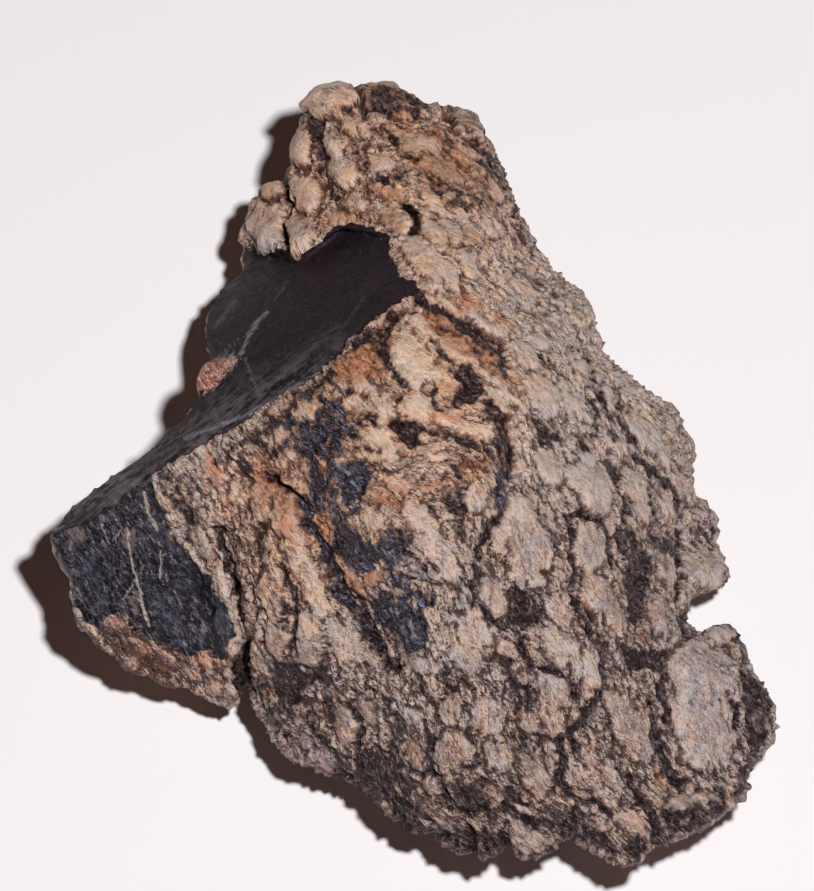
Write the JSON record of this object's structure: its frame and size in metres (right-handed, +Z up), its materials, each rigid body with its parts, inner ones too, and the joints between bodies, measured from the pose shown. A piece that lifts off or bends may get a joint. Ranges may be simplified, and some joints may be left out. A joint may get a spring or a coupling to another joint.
{
  "type": "meteorite",
  "caption": "Weathered stony meteorite with a blunt cone form, a flat black fracture face, a side wing and a lumpy scorched crust, resting on its rounded belly.",
  "frame": {"origin": "middle of the bounding box's footprint, on the surface that the stone rests on", "axes": "+Z up from the table, +Y towards the narrow horn at the back, +X to the right as seen from the broad front"},
  "size_m": [0.0907, 0.1056, 0.0498],
  "materials": {
    "stone": "dull tan to grey-pink weathered stone with rust-orange patches, soot-black scorch marks and one smooth near-black fracture face with a faint sheen"
  },
  "bodies": {
    "root": {"meteorite": "stone"}
  },
  "joints": []
}
